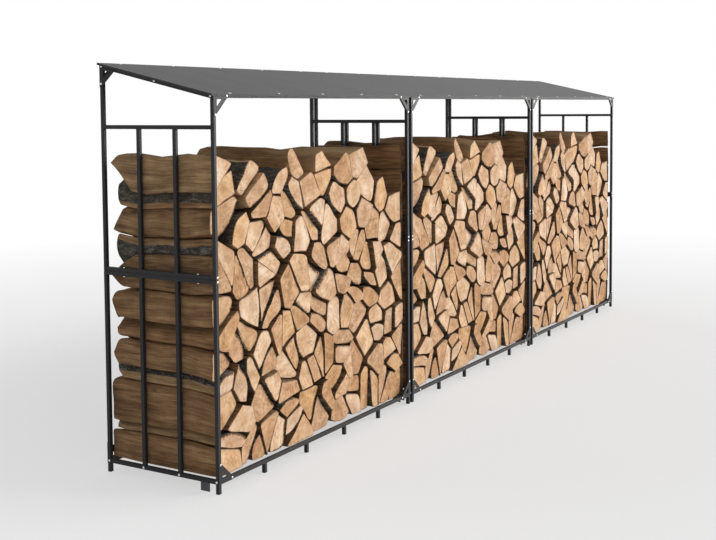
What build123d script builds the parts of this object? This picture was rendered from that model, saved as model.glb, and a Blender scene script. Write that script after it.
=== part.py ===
from build123d import *
import math
import os
import random

# Log store: three equal steel modules in a row, each an open frame of square tube
# with a sloping sheet roof and a pile of split logs.
# Millimetres. Origin on the ground at the middle of the whole row, +X to the right
# seen from the front, the front faces -Y, +Z up.

# Row and module
MODULES = 3
MODULE_WIDTH = 1915.0
DEPTH = 712.0
FRONT_HEIGHT = 1881.5
REAR_HEIGHT = 2042.0

# Tube and rails
TUBE = 20.0
GROUND_CLEARANCE = 48.0
SPLIT_HEIGHT = 1029.0
SIDE_BAR_DROP = 121.5
UPRIGHT_BARS = 2
UPRIGHT_BAR_PITCH = 228.0
RAFTER_DEPTH = 25.0
SEAT = 0.3

# Short feet under the base rails
SHORT_FEET = 4
CAP_HEIGHT = 4.0
CAP_CHAMFER = 1.5

# Anchor plates under the side base rails
ANCHOR_WIDTH = 56.0
ANCHOR_OFFSET = 63.0
ANCHOR_THICKNESS = 3.0
ANCHOR_CLEARANCE = 2.0

# Corner plates
PLATE_THICKNESS = 2.0
PLATE_LENGTH = 112.0
PLATE_HEIGHT = 104.0
PLATE_TIP = 12.0
PLATE_MARGIN = 5.0
PLATE_WEB = 24.0
PLATE_WINDOW_TIP = 4.0
PLATE_FLANGE = 10.0
REAR_PLATE_DROP = 95.0
REAR_PLATE_REACH = 95.0

# Roof
ROOF_SHEET = 1.0
ROOF_SIDE_OVERHANG = 15.0
ROOF_END_OVERHANG = 4.0
ROOF_LIP = 10.0

# Split logs
LOG_SEED = 12
LOG_GAP = 0.6
LOG_TRIES = 6000
LOG_SPACING_LEFT = 160.0
LOG_SPACING_RIGHT = 126.0
LOG_SIZE_SCATTER = 60.0
LOG_SPLIT_AREA = 31000.0
LOG_LEAST_AREA = 3500.0
LOG_MOST_CORNERS = 6
LOG_LEAST_CORNER = 900.0
LOG_BARK_SHARE = 0.3
LOG_BARK_BOW = 0.14
LOG_BARK_REACH = 0.7

# Log pile
PILE_LEFT_GAP = 3.0
PILE_RIGHT_GAP = 5.0
PILE_FRONT_SET_BACK = 14.0
PILE_FRONT_SCATTER = 26.0
PILE_REAR_SET_BACK = 14.0
PILE_REAR_SCATTER = 80.0
PILE_HEADROOM = 226.5
PILE_SCATTER = 60.0
PILE_SHOULDER_WIDTH = 300.0
PILE_SHOULDER_DROP = 390.0

# Thin slabs of wood stacked against the right side frame
SLAB_THICKNESS = 26.0
SLAB_LEAST_HEIGHT = 130.0
SLAB_MOST_HEIGHT = 210.0
SLAB_SET_BACK = 30.0

pitch = MODULE_WIDTH + 2 * ROOF_SIDE_OVERHANG
slope = (REAR_HEIGHT - FRONT_HEIGHT) / DEPTH
rise = math.atan(slope)
rafter_upright_depth = RAFTER_DEPTH / math.cos(rise)
rail_top = GROUND_CLEARANCE + TUBE
lower_end = min(FRONT_HEIGHT, REAR_HEIGHT)
side_bar_top = lower_end - SIDE_BAR_DROP
pile_bottom = rail_top + SEAT
pile_top = lower_end - PILE_HEADROOM


def rafter_bottom(y):
    """Height of the rafter's underside at depth y."""
    return FRONT_HEIGHT + slope * y


def rafter_top(y):
    """Height of the rafter's upper face, which carries the roof sheet."""
    return rafter_bottom(y) + rafter_upright_depth


def under_roof(y0, y1):
    """Height of a level top that stays clear of the roof sheet between two depths."""
    return min(rafter_top(y0), rafter_top(y1)) - SEAT


def block(x0, x1, y0, y1, z0, z1):
    """Square-cornered solid between two opposite corners."""
    middle = Pos((x0 + x1) / 2, (y0 + y1) / 2, (z0 + z1) / 2)
    return middle * Box(x1 - x0, y1 - y0, z1 - z0)


def side_slab(outline, x0, x1):
    """Solid from x0 to x1 with an outline of (y, z) points."""
    face = Plane.YZ.offset(x0) * make_face(Polyline(*outline, close=True))
    return extrude(face, amount=x1 - x0)


def front_slab(outline, y0, y1):
    """Solid from y0 to y1 with an outline of (x, z) points."""
    face = Plane.XZ.offset(-y0) * make_face(Polyline(*outline, close=True))
    return extrude(face, amount=-(y1 - y0))


def upright_bar_depths():
    """Front face of each upright bar of a side frame, evenly about the middle."""
    first = (DEPTH - TUBE - (UPRIGHT_BARS - 1) * UPRIGHT_BAR_PITCH) / 2
    return [first + number * UPRIGHT_BAR_PITCH for number in range(UPRIGHT_BARS)]


def anchor_plate(x):
    """Lug welded under the side base rail, beside the front foot."""
    left = x + (TUBE - ANCHOR_THICKNESS) / 2
    rear = ANCHOR_OFFSET + ANCHOR_WIDTH
    return block(left, left + ANCHOR_THICKNESS, ANCHOR_OFFSET, rear, ANCHOR_CLEARANCE, GROUND_CLEARANCE)


def lower_side_frame(x):
    """Welded lower half of a side frame: two posts, base rail, top tube, bars and lug."""
    top_tube = SPLIT_HEIGHT - TUBE
    frame = block(x, x + TUBE, 0, TUBE, CAP_HEIGHT, SPLIT_HEIGHT)
    frame += block(x, x + TUBE, DEPTH - TUBE, DEPTH, CAP_HEIGHT, SPLIT_HEIGHT)
    frame += block(x, x + TUBE, TUBE, DEPTH - TUBE, GROUND_CLEARANCE, rail_top)
    frame += block(x, x + TUBE, TUBE, DEPTH - TUBE, top_tube, SPLIT_HEIGHT)
    for y in upright_bar_depths():
        frame += block(x, x + TUBE, y, y + TUBE, rail_top, top_tube)
    return frame + anchor_plate(x)


def upper_side_frame(x):
    """Welded upper half: two post ends cut to the rafter's slope, rails and bars."""
    bottom_tube = SPLIT_HEIGHT + TUBE
    frame = block(x, x + TUBE, TUBE, DEPTH - TUBE, SPLIT_HEIGHT, bottom_tube)
    frame += block(x, x + TUBE, TUBE, DEPTH - TUBE, side_bar_top - TUBE, side_bar_top)
    for y in (0, DEPTH - TUBE):
        post = [
            (y, SPLIT_HEIGHT),
            (y + TUBE, SPLIT_HEIGHT),
            (y + TUBE, rafter_bottom(y + TUBE)),
            (y, rafter_bottom(y)),
        ]
        frame += side_slab(post, x, x + TUBE)
    for y in upright_bar_depths():
        frame += block(x, x + TUBE, y, y + TUBE, bottom_tube, side_bar_top - TUBE)
    return frame


def rafter(x):
    """Sloping tube that lies on both posts of a side frame."""
    outline = [
        (0, rafter_bottom(0)),
        (DEPTH, rafter_bottom(DEPTH)),
        (DEPTH, rafter_top(DEPTH)),
        (0, rafter_top(0)),
    ]
    return side_slab(outline, x, x + TUBE)


def short_foot_places():
    """Left face of each short foot, at equal steps across the module."""
    step = MODULE_WIDTH / (SHORT_FEET + 1)
    return [step * (number + 1) - TUBE / 2 for number in range(SHORT_FEET)]


def base_rail(y):
    """Long base rail between the side frames, with short feet welded under it."""
    rail = block(TUBE, MODULE_WIDTH - TUBE, y, y + TUBE, GROUND_CLEARANCE, rail_top)
    for x in short_foot_places():
        rail += block(x, x + TUBE, y, y + TUBE, CAP_HEIGHT, GROUND_CLEARANCE)
    return rail


def top_rail(y):
    """Long top rail between the rafters, close under the roof sheet."""
    top = under_roof(y, y + TUBE)
    return block(TUBE, MODULE_WIDTH - TUBE, y, y + TUBE, top - TUBE, top)


def foot_cap(x, y):
    """Plastic cap in the end of a post or foot, chamfered where it meets the ground."""
    cap = block(x, x + TUBE, y, y + TUBE, 0, CAP_HEIGHT)
    return chamfer(cap.faces().sort_by(Axis.Z)[0].edges(), CAP_CHAMFER)


def foot_caps():
    """All the caps of one module."""
    caps = []
    for y in (0, DEPTH - TUBE):
        for x in (0, *short_foot_places(), MODULE_WIDTH - TUBE):
            caps.append(foot_cap(x, y))
    return caps


def window(corners):
    """Face of a plate's window, with a blunt tip at each corner."""
    points = []
    for number, corner in enumerate(corners):
        for other in (corners[number - 1], corners[(number + 1) % len(corners)]):
            share = PLATE_WINDOW_TIP / math.dist(corner, other)
            points.append(tuple(a + share * (b - a) for a, b in zip(corner, other)))
    return make_face(Polyline(*points, close=True))


def corner_plate():
    """Plate for the lower left front corner, drawn with that corner at the origin."""
    outline = [
        (0, 0),
        (PLATE_LENGTH, 0),
        (PLATE_LENGTH, PLATE_TIP),
        (PLATE_TIP, PLATE_HEIGHT),
        (0, PLATE_HEIGHT),
    ]
    plate = front_slab(outline, -PLATE_THICKNESS, 0)
    run = PLATE_LENGTH - PLATE_TIP
    fall = PLATE_HEIGHT - PLATE_TIP
    edge = math.hypot(run, fall)
    inside = TUBE + PLATE_MARGIN
    clear = PLATE_TIP + fall * (PLATE_LENGTH - inside) / run - PLATE_WEB * edge / run
    window_height = clear - inside
    window_width = window_height * run / fall
    corners = [
        (inside, inside),
        (inside + window_width, inside),
        (inside, inside + window_height),
    ]
    opening = Plane.XZ.offset(PLATE_THICKNESS) * window(corners)
    plate -= extrude(opening, amount=-PLATE_THICKNESS)
    lower = TUBE + SEAT
    flange_bottom = (PLATE_LENGTH - (lower - PLATE_TIP) * run / fall, lower)
    flange_top = (lower, PLATE_TIP + fall * (PLATE_LENGTH - lower) / run)
    inner = PLATE_THICKNESS * edge / run
    flange = [
        flange_bottom,
        flange_top,
        (flange_top[0], flange_top[1] - inner),
        (flange_bottom[0] - inner * run / fall, flange_bottom[1]),
    ]
    return plate + front_slab(flange, 0, PLATE_FLANGE)


def end_plates(height, upward):
    """Front and rear corner plates of one level, at both ends of the module."""
    plate = corner_plate()
    if not upward:
        plate = mirror(plate, Plane.XY)
    left_front = Pos(0, 0, height) * plate
    rear = mirror(left_front, Plane.XZ.offset(-DEPTH / 2))
    middle = Plane.YZ.offset(MODULE_WIDTH / 2)
    return left_front, rear, mirror(left_front, middle), mirror(rear, middle)


def rear_side_plate():
    """Plate on the outer side of a rear post, up under the rafter."""
    gap = PLATE_MARGIN
    reach = DEPTH - REAR_PLATE_REACH
    foot = rafter_bottom(DEPTH) - REAR_PLATE_DROP
    tip = PLATE_TIP
    outline = [
        (DEPTH, rafter_top(DEPTH) - ROOF_LIP - gap),
        (reach, rafter_top(reach) - ROOF_LIP - gap),
        (reach, rafter_bottom(reach)),
        (DEPTH - tip, foot),
        (DEPTH, foot),
    ]
    plate = side_slab(outline, -PLATE_THICKNESS, 0)
    inside = DEPTH - TUBE - gap
    window_reach = (REAR_PLATE_REACH - TUBE) / 2
    corners = [
        (inside, rafter_bottom(inside) - gap),
        (inside - window_reach, rafter_bottom(inside - window_reach) - gap),
        (inside, rafter_bottom(inside) - gap - window_reach),
    ]
    opening = Plane.YZ.offset(-PLATE_THICKNESS) * window(corners)
    return plate - extrude(opening, amount=PLATE_THICKNESS)


def corner_plates():
    """All the plates of one module."""
    plates = [*end_plates(GROUND_CLEARANCE, True)]
    front_top = under_roof(-PLATE_THICKNESS, TUBE)
    rear_lift = under_roof(DEPTH - TUBE, DEPTH + PLATE_THICKNESS) - front_top
    front_left, rear_left, front_right, rear_right = end_plates(front_top, False)
    plates += [front_left, front_right]
    plates += [Pos(0, 0, rear_lift) * rear_left, Pos(0, 0, rear_lift) * rear_right]
    side_plate = rear_side_plate()
    plates += [side_plate, mirror(side_plate, Plane.YZ.offset(MODULE_WIDTH / 2))]
    return plates


def roof_sheet():
    """Folded sheet: a sloping top with a shallow lip turned down all round."""
    front = -ROOF_END_OVERHANG
    rear = DEPTH + ROOF_END_OVERHANG
    left = -ROOF_SIDE_OVERHANG
    right = MODULE_WIDTH + ROOF_SIDE_OVERHANG
    sheet = ROOF_SHEET / math.cos(rise)
    top = [
        (front, rafter_top(front)),
        (rear, rafter_top(rear)),
        (rear, rafter_top(rear) + sheet),
        (front, rafter_top(front) + sheet),
    ]
    roof = side_slab(top, left, right)
    for y0, y1 in ((front, front + ROOF_SHEET), (rear - ROOF_SHEET, rear)):
        lip = [
            (y0, rafter_top(y0) - ROOF_LIP),
            (y1, rafter_top(y1) - ROOF_LIP),
            (y1, rafter_top(y1)),
            (y0, rafter_top(y0)),
        ]
        roof += side_slab(lip, left, right)
    side_lip = [
        (front, rafter_top(front) - ROOF_LIP),
        (rear, rafter_top(rear) - ROOF_LIP),
        (rear, rafter_top(rear)),
        (front, rafter_top(front)),
    ]
    roof += side_slab(side_lip, left, left + ROOF_SHEET)
    roof += side_slab(side_lip, right - ROOF_SHEET, right)
    return roof


def clip(polygon, point, normal):
    """Part of a convex polygon on the side of a line that its normal points away from."""
    kept = []
    for number, (x, z) in enumerate(polygon):
        next_x, next_z = polygon[(number + 1) % len(polygon)]
        here = (x - point[0]) * normal[0] + (z - point[1]) * normal[1]
        there = (next_x - point[0]) * normal[0] + (next_z - point[1]) * normal[1]
        if here <= 0:
            kept.append((x, z))
        if here * there < 0:
            share = here / (here - there)
            kept.append((x + share * (next_x - x), z + share * (next_z - z)))
    return kept


def log_spacing(x, left, right):
    """Least distance between the middles of neighbouring logs, smaller to the right."""
    share = (x - left) / (right - left)
    return LOG_SPACING_LEFT + share * (LOG_SPACING_RIGHT - LOG_SPACING_LEFT)


def log_centres(draw, left, right):
    """Scattered (x, z, size) centres that keep their distance, filling the bay's front."""
    centres = []
    edge = LOG_SPACING_RIGHT / 3
    for attempt in range(LOG_TRIES):
        x = draw.uniform(left + edge, right - edge)
        z = draw.uniform(pile_bottom + edge, pile_top + LOG_SPACING_LEFT)
        size = draw.uniform(0, LOG_SIZE_SCATTER)
        spacing = log_spacing(x, left, right)
        if all(math.hypot(x - other[0], z - other[1]) > spacing for other in centres):
            centres.append((x, z, size))
    return centres


def polygon_area(polygon):
    """Area of a polygon of (x, z) points."""
    total = 0
    for number, (x, z) in enumerate(polygon):
        next_x, next_z = polygon[(number + 1) % len(polygon)]
        total += x * next_z - next_x * z
    return abs(total) / 2


def trimmed(outline):
    """Outline without its smallest corners, which opens the gaps between round-edged logs."""
    outline = list(outline)
    while len(outline) > 3:
        areas = []
        for number, corner in enumerate(outline):
            following = outline[(number + 1) % len(outline)]
            areas.append(polygon_area([outline[number - 1], corner, following]))
        smallest = min(areas)
        if len(outline) <= LOG_MOST_CORNERS and smallest > LOG_LEAST_CORNER:
            break
        del outline[areas.index(smallest)]
    return outline


def log_cell(centre, centres, left, right):
    """The room that one log has between its neighbours, as a convex outline."""
    x, z, size = centre
    ceiling = pile_top + 2 * LOG_SPACING_LEFT
    cell = [(left, pile_bottom), (right, pile_bottom), (right, ceiling), (left, ceiling)]
    for other_x, other_z, other_size in centres:
        away = (other_x - x, other_z - z)
        distance = math.hypot(*away)
        if 0 < distance < 4 * LOG_SPACING_LEFT:
            normal = (away[0] / distance, away[1] / distance)
            reach = (distance + (size**2 - other_size**2) / distance - LOG_GAP) / 2
            cell = clip(cell, (x + normal[0] * reach, z + normal[1] * reach), normal)
    return cell


def halves(cell, centre, angle):
    """A big round of wood split in two at an angle."""
    x, z, size = centre
    normal = (math.cos(angle), math.sin(angle))
    half = LOG_GAP / 2
    point = (x - normal[0] * half, z - normal[1] * half)
    other_point = (x + normal[0] * half, z + normal[1] * half)
    return clip(cell, point, normal), clip(cell, other_point, (-normal[0], -normal[1]))


def log_outlines(draw, left, right):
    """Outlines of the split logs' ends under the uneven top of the pile."""
    centres = log_centres(draw, left, right)
    shoulder = right - PILE_SHOULDER_WIDTH
    outlines = []
    for centre in centres:
        drop = max(0, (centre[0] - shoulder) / PILE_SHOULDER_WIDTH) * PILE_SHOULDER_DROP
        top = pile_top - drop - draw.random() * PILE_SCATTER
        angle = draw.uniform(0, math.pi)
        cell = log_cell(centre, centres, left, right)
        pieces = halves(cell, centre, angle) if polygon_area(cell) > LOG_SPLIT_AREA else [cell]
        for piece in pieces:
            if max(z for x, z in piece) < top and polygon_area(piece) > LOG_LEAST_AREA:
                outlines.append(trimmed(piece))
    return outlines


def slab_outlines(draw, left, right):
    """Outlines of the thin slabs stacked up to the pile's full height."""
    outlines = []
    z = pile_bottom
    while z + SLAB_LEAST_HEIGHT < pile_top:
        top = min(z + draw.uniform(SLAB_LEAST_HEIGHT, SLAB_MOST_HEIGHT), pile_top)
        outlines.append([(left, z), (right, z), (right, top), (left, top)])
        z = top + LOG_GAP
    return outlines


def bark_first(outline):
    """The same outline, starting with its longest side, where the bark is."""
    sides = [math.dist(corner, outline[number - 1]) for number, corner in enumerate(outline)]
    longest = sides.index(max(sides))
    return outline[longest - 1 :] + outline[: longest - 1]


def round_backed(outline):
    """Edge of a log's end with straight split sides and a round back under the bark."""
    start, end, *others = outline
    length = math.dist(start, end)
    along = ((end[0] - start[0]) / length, (end[1] - start[1]) / length)
    inward = (-along[1], along[0])
    bow = LOG_BARK_BOW
    depths = []
    for corner, neighbour, way in ((start, others[-1], -1), (end, others[0], 1)):
        leg = (neighbour[0] - corner[0], neighbour[1] - corner[1])
        depth = leg[0] * inward[0] + leg[1] * inward[1]
        turn = math.atan2(depth, way * (leg[0] * along[0] + leg[1] * along[1]))
        bow = min(bow, math.tan(turn / 2) / 2, LOG_BARK_REACH * depth / length)
        depths.append(depth)
    sink = bow * length
    low = tuple(a + (b - a) * sink / depths[0] for a, b in zip(start, others[-1]))
    high = tuple(a + (b - a) * sink / depths[1] for a, b in zip(end, others[0]))
    crown = tuple((a + b) / 2 - sink * away for a, b, away in zip(low, high, inward))
    return Polyline(high, *others, low) + ThreePointArc(low, crown, high)


def log_solid(outline, barked, y0, y1):
    """One log from y0 to y1, split on every side or keeping its round back."""
    if not barked:
        return front_slab(outline, y0, y1)
    face = Plane.XZ.offset(-y0) * make_face(round_backed(bark_first(outline)))
    return extrude(face, amount=-(y1 - y0))


def log_pile():
    """The logs of one module, laid from front to back on the two base rails."""
    draw = random.Random(LOG_SEED)
    left = TUBE + PILE_LEFT_GAP
    right = MODULE_WIDTH - TUBE - PILE_RIGHT_GAP
    slab_left = right - SLAB_THICKNESS
    logs = []
    for outline in log_outlines(draw, left, slab_left - LOG_GAP):
        front = PILE_FRONT_SET_BACK + draw.random() ** 2 * PILE_FRONT_SCATTER
        lowest = min(z for x, z in outline)
        height_share = (lowest - pile_bottom) / (pile_top - pile_bottom)
        rear = DEPTH - PILE_REAR_SET_BACK - draw.random() * height_share * PILE_REAR_SCATTER
        barked = draw.random() < LOG_BARK_SHARE
        logs.append(log_solid(outline, barked, front, rear))
    for outline in slab_outlines(draw, slab_left, right):
        logs.append(front_slab(outline, SLAB_SET_BACK, DEPTH - PILE_REAR_SET_BACK))
    return logs


def module_pieces():
    """Named pieces of one module, in a frame with the left front foot at the origin."""
    right = MODULE_WIDTH - TUBE
    return {
        "left_lower_frame": [lower_side_frame(0)],
        "right_lower_frame": [lower_side_frame(right)],
        "left_upper_frame": [upper_side_frame(0)],
        "right_upper_frame": [upper_side_frame(right)],
        "left_rafter": [rafter(0)],
        "right_rafter": [rafter(right)],
        "front_base_rail": [base_rail(0)],
        "rear_base_rail": [base_rail(DEPTH - TUBE)],
        "front_top_rail": [top_rail(0)],
        "rear_top_rail": [top_rail(DEPTH - TUBE)],
        "corner_plates": corner_plates(),
        "foot_caps": foot_caps(),
        "roof_sheet": [roof_sheet()],
        "logs": log_pile(),
    }


os.makedirs("parts", exist_ok=True)
row_start = -(MODULES * pitch) / 2 + ROOF_SIDE_OVERHANG
pieces = module_pieces()
for module in range(MODULES):
    place = Pos(row_start + module * pitch, -DEPTH / 2, 0)
    for name, solids in pieces.items():
        node = Compound(children=[place * solid for solid in solids])
        export_step(node, f"parts/bay_{module + 1}_{name}.step")
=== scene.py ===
import math
import random

import bmesh
import bpy
from mathutils import Matrix, Vector, noise


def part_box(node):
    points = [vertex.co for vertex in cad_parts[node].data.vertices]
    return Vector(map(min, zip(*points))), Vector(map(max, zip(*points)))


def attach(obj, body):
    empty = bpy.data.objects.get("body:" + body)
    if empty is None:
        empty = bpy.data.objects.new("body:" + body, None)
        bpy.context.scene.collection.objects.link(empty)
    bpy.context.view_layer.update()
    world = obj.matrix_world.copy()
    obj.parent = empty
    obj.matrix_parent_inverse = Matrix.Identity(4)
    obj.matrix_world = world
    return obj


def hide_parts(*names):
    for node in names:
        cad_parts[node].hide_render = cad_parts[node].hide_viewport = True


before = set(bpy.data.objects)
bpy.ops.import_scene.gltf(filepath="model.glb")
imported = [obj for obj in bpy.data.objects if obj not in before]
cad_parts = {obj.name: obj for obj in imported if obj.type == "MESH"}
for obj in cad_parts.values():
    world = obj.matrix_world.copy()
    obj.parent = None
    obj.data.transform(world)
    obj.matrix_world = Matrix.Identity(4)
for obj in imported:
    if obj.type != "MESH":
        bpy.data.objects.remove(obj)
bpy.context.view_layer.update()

BODY = "root"
BAYS = (1, 2, 3)
MM = 0.001
TUBE_NODES = (
    "left_lower_frame", "right_lower_frame", "left_upper_frame", "right_upper_frame",
    "left_rafter", "right_rafter", "front_base_rail", "rear_base_rail",
    "front_top_rail", "rear_top_rail")

# The camera of the photograph: place in metres, angles in degrees
CAMERA_PLACE = (-7.0751, -3.6445, 1.8386)
CAMERA_YAW = 58.92
CAMERA_PITCH = -3.46
CAMERA_ROLL = -0.45
CAMERA_LENS = 56.75
CAMERA_SHIFT = (0.0029, -0.132)
CAMERA_SENSOR = 36.0
CAMERA_REACH = 200.0

# Light: places and targets in metres, spreads in degrees
FLOOR_SIZE = 120.0
FLOOR_FADE = (2.5, 9.0)
WHITE = (1.0, 1.0, 1.0, 1.0)
WORLD_COLOUR = (0.93, 0.96, 1.0, 1.0)
WORLD_STRENGTH = 0.29
SUN_COLOUR = (1.0, 0.98, 0.95)
KEY_SUN = {"energy": 0.8, "spread": 18.0, "place": (5.0, -8.0, 5.5)}
SHEEN_SUN = {"energy": 2.75, "spread": 34.0, "place": (8.5, -5.4, 0.9)}
ROOF_LIGHT_SIZE = 6.0
ROOF_LIGHT_POWER = 74.0
ROOF_LIGHT_PLACE = (6.2, 0.0, 7.0)
ROOF_LIGHT_TARGET = (4.4, 0.0, 0.0)

# Steel, and the radius of its rounded edges
TUBE = 20 * MM
PLATE = 2 * MM
ROOF_LIP = 11 * MM
TUBE_EDGE = 2.2 * MM
PLATE_EDGE = 0.5 * MM
ROOF_EDGE = 0.4 * MM
CAP_EDGE = 0.4 * MM

# Meshes: points this close are one, faces this flat are joined, edges this sharp are rounded
SAME_POINT = 0.02 * MM
FLAT_ANGLE = math.radians(1)
FOLD_ANGLE = math.radians(25)

# Places on a side frame: heights from the ground, depths from the front face
GROUND_CLEARANCE = 48 * MM
SIDE_BAR_TOP = 1760 * MM
UPRIGHT_BARS = (232 * MM, 460 * MM)
LUG = (63 * MM, 119 * MM)
LUG_THICKNESS = 3 * MM

# Screws and bolts: from the frame's front, a post's outer side or the split between panels.
# Those of a corner plate: along the rail, and up or down the post. Base rail and roof: as shares
TOP_PLATE_SCREWS = (100 * MM, 99 * MM)
BASE_PLATE_SCREWS = (102 * MM, 94 * MM)
POST_SCREW = 0.6 * TUBE
SPLIT_SCREW = 11 * MM
REAR_PLATE_SCREW = (10 * MM, 98 * MM)
RAFTER_SCREWS = (18 * MM, 359 * MM, 700 * MM)
RAFTER_SCREW_DROP = 9 * MM
MID_RAIL_BOLTS = (115 * MM, 583 * MM)
BASE_RAIL_SCREWS = (0.02, 0.345, 0.665, 0.985)
ROOF_SCREWS = (0.073, 0.2865, 0.5, 0.7135, 0.927)
SCREW_FACETS = 12
SCREW_SHARP_ANGLE = math.radians(40)

# Weld beads
WELD_SEED = 3
WELD_REACH = 3.4 * MM
WELD_SINK = 0.4 * MM
WELD_RIPPLE = 2.4 * MM
WELD_SWELL = (0.82, 1.12)
WELD_END = 0.5
WELD_PROFILE = ((1.0, 0.0), (0.82, 0.34), (0.34, 0.82), (0.0, 1.0))
WELD_SHARP_ANGLE = math.radians(50)

# Logs: the outline of an end, its corners and how far it stands back. The rings inside an end
# have their size and how much of the rim's colour they show
LOG_SEED = 5
END_INSET = (0.8 * MM, 7.2 * MM)
END_RECESS = 12 * MM
SLAB_WIDTH = 34 * MM
SHARP_CORNER = 2.5 * MM
WORN_CORNER = 42 * MM
BARK_CORNER = 44 * MM
TIP_CORNER = 30 * MM
TIP_ANGLE = (math.radians(100), math.radians(55))
LARGEST_CUT = 0.45
ARC_FROM = 7 * MM
ARC_STEPS = 3
SAME_LENGTH = 0.01
POINT_SPACING = 17 * MM
RIM = 0.6 * MM
CAP_RINGS = ((0.9, 0.55), (0.78, 0.15), (0.42, 0.0))
CAP_ROUGHNESS = 1.3 * MM
CAP_SCALE = (34, 0)

# Logs: their length, with dents that fade from the ends to the middle. Each noise has its
# scale across and along the log
STATIONS = (0.0, 0.004, 0.03, 0.1, 0.25, 0.5, 0.75, 0.91, 0.98, 1.0)
MIDDLE_INSET = 0.3 * MM
TAPER_LENGTH = 0.16
EDGE_WAVE = 9 * MM
EDGE_WAVE_SCALE = (11, 3)
EDGE_WAVE_FADE = 0.4
SIDE_ROUGHNESS = 1.1 * MM
SIDE_ROUGHNESS_SCALE = (70, 12)
FRONT_TILT = 0.07
REAR_TILT = 0.16
REAR_WEDGE = (0.3, 1.3)
REAR_WEDGE_CHANCE = 0.6
RIDGE_LEAN = 0.4
RIDGE_SHIFT = 20 * MM
LOG_SHARP_ANGLE = math.radians(32)

# Logs: bark and colour, a tone of 0 being dark and 1 pale. A thin slab's dark tone is painted
# shade;
# the side tones add painted light at the walls and on top, and painted shade inside the pile
BARK_CHANCE = 0.45
WALL_BARK_CHANCE = 0.2
BARK_FADE = (0.14, 0.02)
PITH_SPREAD = 0.08
PITH_BEHIND = (0.6, 1.1)
PATTERN_SPAN = 40
SLAB_PAINTED_SHADE = 0.15
WALL_REACH = 10 * MM
WALL_PAINTED_LIGHT = 0.15
TOP_LAYER = 150 * MM
TOP_PAINTED_LIGHT = 1.2
INNER_PAINTED_SHADE = -0.65

# Pile: how far it has swayed and sunk, the scale and start of each noise, and the distance
# from walls and rails over which that fades in
SWAY = 14 * MM
SWAY_SCALE = (3.1, 2.6, 3.1)
SWAY_START = (9, 0, 0)
SINKING = 28 * MM
SINKING_SCALE = (2.7, 5.2, 3.4)
SINKING_START = (0, 5, 0)
LARGEST_RISE = 0.2
SETTLING_MARGIN = 0.18


def srgb(red, green, blue):
    """Colour written as 0 to 255, as linear light."""
    linear = []
    for value in (red, green, blue):
        share = value / 255
        linear.append(share / 12.92 if share <= 0.04045 else ((share + 0.055) / 1.055) ** 2.4)
    return (*linear, 1.0)


class Shader:
    """A node material under construction."""

    def __init__(self, name):
        self.material = bpy.data.materials.new(name)
        self.material.use_nodes = True
        self.tree = self.material.node_tree
        self.surface = self.tree.nodes["Principled BSDF"]

    def add(self, kind, inputs=None, **settings):
        """Adds a node, sets its settings, and links or sets its inputs."""
        node = self.tree.nodes.new("ShaderNode" + kind)
        for key, value in settings.items():
            setattr(node, key, value)
        for key, value in (inputs or {}).items():
            self.put(node.inputs[key], value)
        return node

    def put(self, socket, value):
        """Links a node's first output or a socket, or sets a plain value."""
        if isinstance(value, bpy.types.Node):
            value = value.outputs[0]
        if isinstance(value, bpy.types.NodeSocket):
            self.tree.links.new(value, socket)
        else:
            socket.default_value = value

    def math(self, operation, *values):
        """One Math node."""
        node = self.add("Math", operation=operation)
        for number, value in enumerate(values):
            self.put(node.inputs[number], value)
        return node.outputs[0]

    def times(self, first, second):
        """Product of two values."""
        return self.math("MULTIPLY", first, second)

    def attribute(self, name):
        """A number stored on the mesh."""
        return self.add("Attribute", attribute_name=name).outputs["Fac"]

    def noise(self, vector, scale, detail=3.0, roughness=0.55):
        """Plain noise from 0 to 1."""
        inputs = {"Vector": vector, "Scale": scale, "Detail": detail, "Roughness": roughness}
        return self.add("TexNoise", inputs).outputs[0]

    def vector(self, x, y, z):
        """A vector from three values."""
        return self.add("CombineXYZ", {"X": x, "Y": y, "Z": z}).outputs[0]

    def stretch(self, vector, scale):
        """A vector scaled along each axis."""
        node = self.add("VectorMath", {0: vector, 1: scale}, operation="MULTIPLY")
        return node.outputs[0]

    def ramp(self, factor, *stops):
        """Colour ramp through (place, colour) stops."""
        node = self.add("ValToRGB", {"Fac": factor})
        elements = node.color_ramp.elements
        while len(elements) < len(stops):
            elements.new(0.5)
        for element, (place, colour) in zip(elements, stops):
            element.position = place
            element.color = colour
        return node.outputs[0]

    def level(self, value, low, high, to_low=0.0, to_high=1.0):
        """A value mapped from one range to another and held inside it."""
        keys = ("Value", "From Min", "From Max", "To Min", "To Max")
        inputs = dict(zip(keys, (value, low, high, to_low, to_high)))
        return self.add("MapRange", inputs).outputs[0]

    def mix(self, factor, first, second, blend="MIX"):
        """Mix of two colours: inputs 6 and 7 and output 2 are the Mix node's colour sockets."""
        node = self.add("Mix", data_type="RGBA", blend_type=blend)
        self.put(node.inputs["Factor"], factor)
        self.put(node.inputs[6], first)
        self.put(node.inputs[7], second)
        return node.outputs[2]

    def mix_values(self, factor, first, second):
        """Mix of two values: inputs 2 and 3 are the Mix node's value sockets."""
        return self.add("Mix", {"Factor": factor, 2: first, 3: second}).outputs[0]

    def weighted(self, *parts):
        """Sum of (value, share) pairs."""
        total = 0.0
        for value, share in parts:
            total = self.math("ADD", total, self.times(value, share))
        return total

    def bump(self, height, strength, distance):
        """Bump from a height value."""
        inputs = {"Height": height, "Strength": strength, "Distance": distance}
        return self.add("Bump", inputs).outputs[0]

    def finish(self, **inputs):
        """Puts the last values on the surface and returns the material."""
        for key, value in inputs.items():
            self.put(self.surface.inputs[key.replace("_", " ")], value)
        return self.material


def object_place(shader):
    """Coordinates in the object's own frame, in metres."""
    return shader.add("TexCoord").outputs["Object"]


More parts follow.
